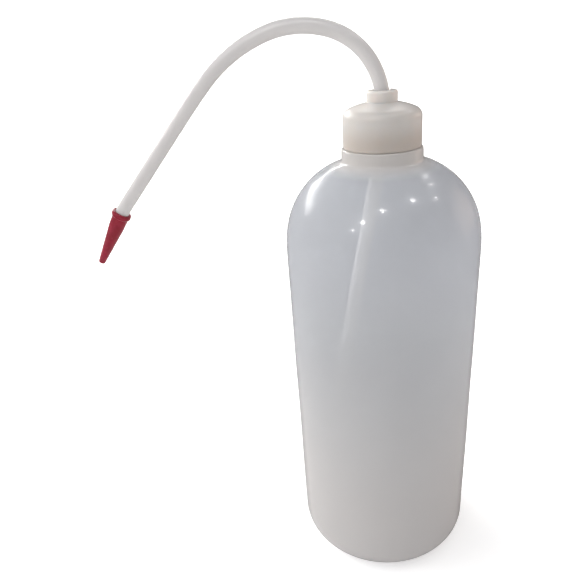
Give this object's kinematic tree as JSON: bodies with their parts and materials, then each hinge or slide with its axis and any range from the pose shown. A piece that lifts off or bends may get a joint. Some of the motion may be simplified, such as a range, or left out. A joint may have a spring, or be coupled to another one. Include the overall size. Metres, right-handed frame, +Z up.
{
  "type": "wash bottle",
  "caption": "Squeeze bottle with a screw cap, a dip tube that continues as a long curved spout, and a conical nozzle tip.",
  "frame": {"origin": "centre of the foot ring, on the surface the bottle stands on", "axes": "+Z up along the bottle's axis; the spout points towards -X and the whole tube lies in the XZ plane"},
  "size_m": [0.1495, 0.072, 0.2135],
  "materials": {
    "bottle_wall": "translucent low-density polyethylene, blow moulded, soft gloss",
    "cap": "natural off-white polyethylene, satin",
    "washer": "soft white polyethylene foam",
    "tube": "translucent natural polyethylene tube",
    "nozzle": "deep red polyethylene, semi-gloss"
  },
  "bodies": {
    "bottle": {"bottle": "bottle_wall"},
    "washer": {"sealing_washer": "washer"},
    "cap": {"screw_cap": "cap"},
    "tube": {"delivery_tube": "tube"},
    "nozzle": {"tip_nozzle": "nozzle"}
  },
  "joints": [
    {"name": "cap_lift", "type": "slide", "parent": "bottle", "child": "washer", "axis": [0, 0, 1], "range_m": [0, 0.0048]},
    {"name": "cap_turn", "type": "hinge", "parent": "washer", "child": "cap", "pos_m": [0, 0, 0.178], "axis": [0, 0, 1], "range_deg": [0, 540]},
    {"name": "spout_swivel", "type": "hinge", "parent": "cap", "child": "tube", "pos_m": [0, 0, 0.183], "axis": [0, 0, 1], "continuous": true},
    {"name": "tip_pull", "type": "slide", "parent": "tube", "child": "nozzle", "axis": [-0.5417, 0, -0.8406], "range_m": [0, 0.012]}
  ],
  "couplings": [
    {"joint": "cap_lift", "follows": "cap_turn", "m_per_rad": 0.00050532}
  ]
}
